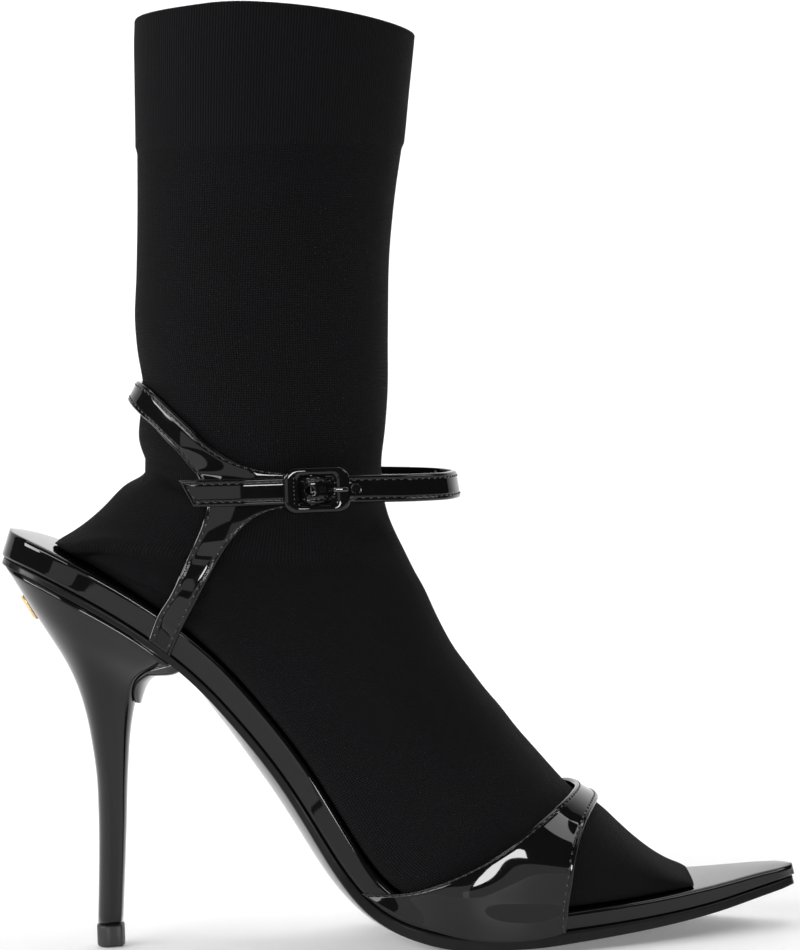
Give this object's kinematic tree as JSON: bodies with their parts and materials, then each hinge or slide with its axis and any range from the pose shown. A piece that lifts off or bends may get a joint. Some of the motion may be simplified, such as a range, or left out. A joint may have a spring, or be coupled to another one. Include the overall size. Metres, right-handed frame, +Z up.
{
  "type": "sock boot",
  "caption": "High-heeled strappy sandal with a ribbed knit sock as its upper; one right shoe with a buckled ankle strap.",
  "frame": {"origin": "middle of the heel tip's ground face", "axes": "+X towards the toe, +Y towards the inner side of the foot, +Z up"},
  "size_m": [0.2178, 0.0761, 0.2583],
  "materials": {
    "sole_leather": "satin",
    "patent": "gloss",
    "heel_gloss": "gloss",
    "heel_rubber": "matt",
    "knit": "matt",
    "prong_enamel": "gloss",
    "gold": "polished"
  },
  "bodies": {
    "root": {"outsole": "sole_leather", "footbed": "patent", "heel": "heel_gloss", "top_piece": "heel_rubber", "sock": "knit", "vamp_strap": "patent", "quarter_and_ankle_strap": "patent", "buckle_frame": "patent", "buckle_prong": "prong_enamel", "heel_plate": "gold"}
  },
  "joints": []
}
